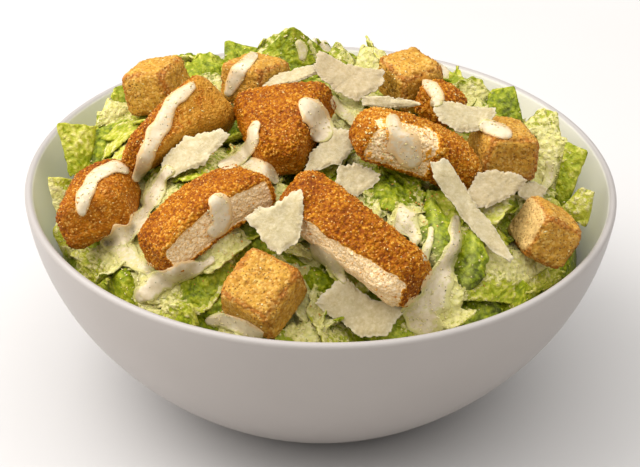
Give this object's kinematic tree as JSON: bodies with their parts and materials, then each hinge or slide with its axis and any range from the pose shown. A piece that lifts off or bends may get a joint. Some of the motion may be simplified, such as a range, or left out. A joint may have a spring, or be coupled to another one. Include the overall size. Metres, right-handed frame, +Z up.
{
  "type": "caesar salad in a bowl",
  "caption": "Heaped caesar salad with breaded chicken slices, croutons, parmesan shavings and creamy dressing in a plain round white bowl that stands on a flat foot.",
  "frame": {"origin": "middle of the bowl's flat foot, on the surface it stands on", "axes": "+Z up out of the bowl, -Y towards the side with the two long chicken slices, +X to the right seen from there"},
  "size_m": [0.2, 0.2, 0.1197],
  "materials": {
    "bowl_glaze": "smooth satin white glaze",
    "lettuce": "moist green leaf under a thin creamy dressing, with fine grated cheese",
    "crouton": "dry toasted bread, fine pores and dark specks",
    "chicken": "fried crumb crust with a pale cut face",
    "parmesan": "pale hard cheese, slightly waxy and granular"
  },
  "bodies": {
    "root": {"bowl": "bowl_glaze", "lettuce": "lettuce", "crouton_back_left": "crouton", "crouton_back_middle": "crouton", "crouton_back_right": "crouton", "crouton_right": "crouton", "crouton_front_right": "crouton", "crouton_front_left": "crouton", "chicken_back_left": "chicken", "chicken_back_middle": "chicken", "chicken_back_small": "chicken", "chicken_back_right": "chicken", "chicken_left": "chicken", "chicken_front_left": "chicken", "chicken_front_right": "chicken", "shaving_left": "parmesan", "shaving_back_narrow": "parmesan", "shaving_back": "parmesan", "shaving_centre": "parmesan", "shaving_centre_right": "parmesan", "shaving_front_left": "parmesan", "shaving_front": "parmesan", "shaving_back_right": "parmesan", "shaving_right": "parmesan", "shaving_long": "parmesan", "shaving_far_right": "parmesan"}
  },
  "joints": []
}
